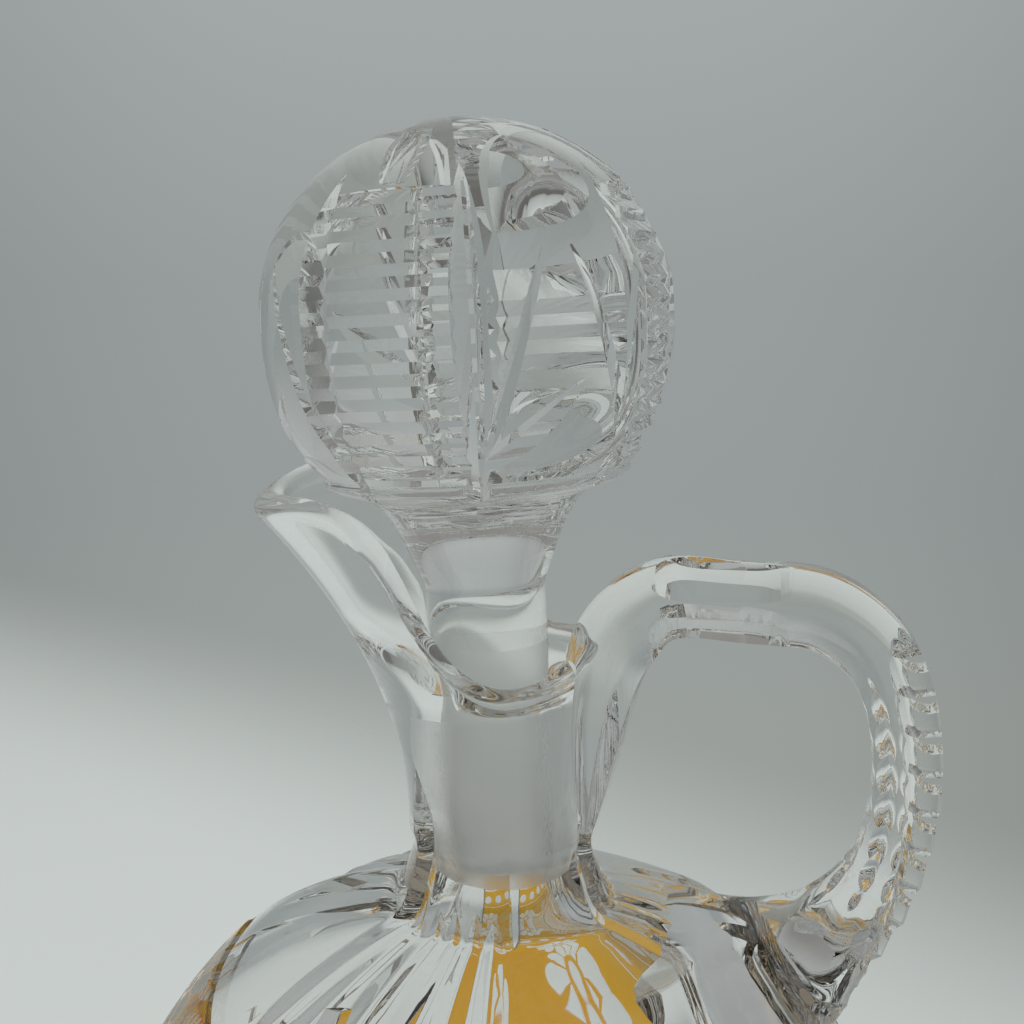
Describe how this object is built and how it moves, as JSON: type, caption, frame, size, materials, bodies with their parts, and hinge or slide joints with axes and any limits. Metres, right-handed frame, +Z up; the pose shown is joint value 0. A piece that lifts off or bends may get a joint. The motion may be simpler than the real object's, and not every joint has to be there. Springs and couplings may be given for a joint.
{
  "type": "decanter",
  "caption": "Cut glass decanter with a pulled pouring lip, an applied glass handle, amber cased panels and a ground ball stopper that lifts out.",
  "frame": {"origin": "middle of the flat foot, on the axis of the body", "axes": "+Z up, the pouring lip points to -X and the handle to +X"},
  "size_m": [0.1493, 0.1476, 0.2619],
  "materials": {
    "vessel": "polished clear lead glass, cut panels",
    "handle": "polished clear lead glass, thumb cuts",
    "stopper": "polished clear lead glass, cut head and frosted ground plug",
    "amber_glass": "thin amber casing with engraved ornament"
  },
  "bodies": {
    "vessel_body": {"vessel": "vessel", "handle": "handle", "amber_panel_lip_side": "amber_glass", "amber_panel_grip_side": "amber_glass", "amber_panel_far_side": "amber_glass"},
    "stopper_body": {"stopper": "stopper"}
  },
  "joints": [
    {"name": "stopper_lift", "type": "slide", "parent": "vessel_body", "child": "stopper_body", "axis": [-0.061, 0, 0.9981], "range_m": [0, 0.07]}
  ]
}
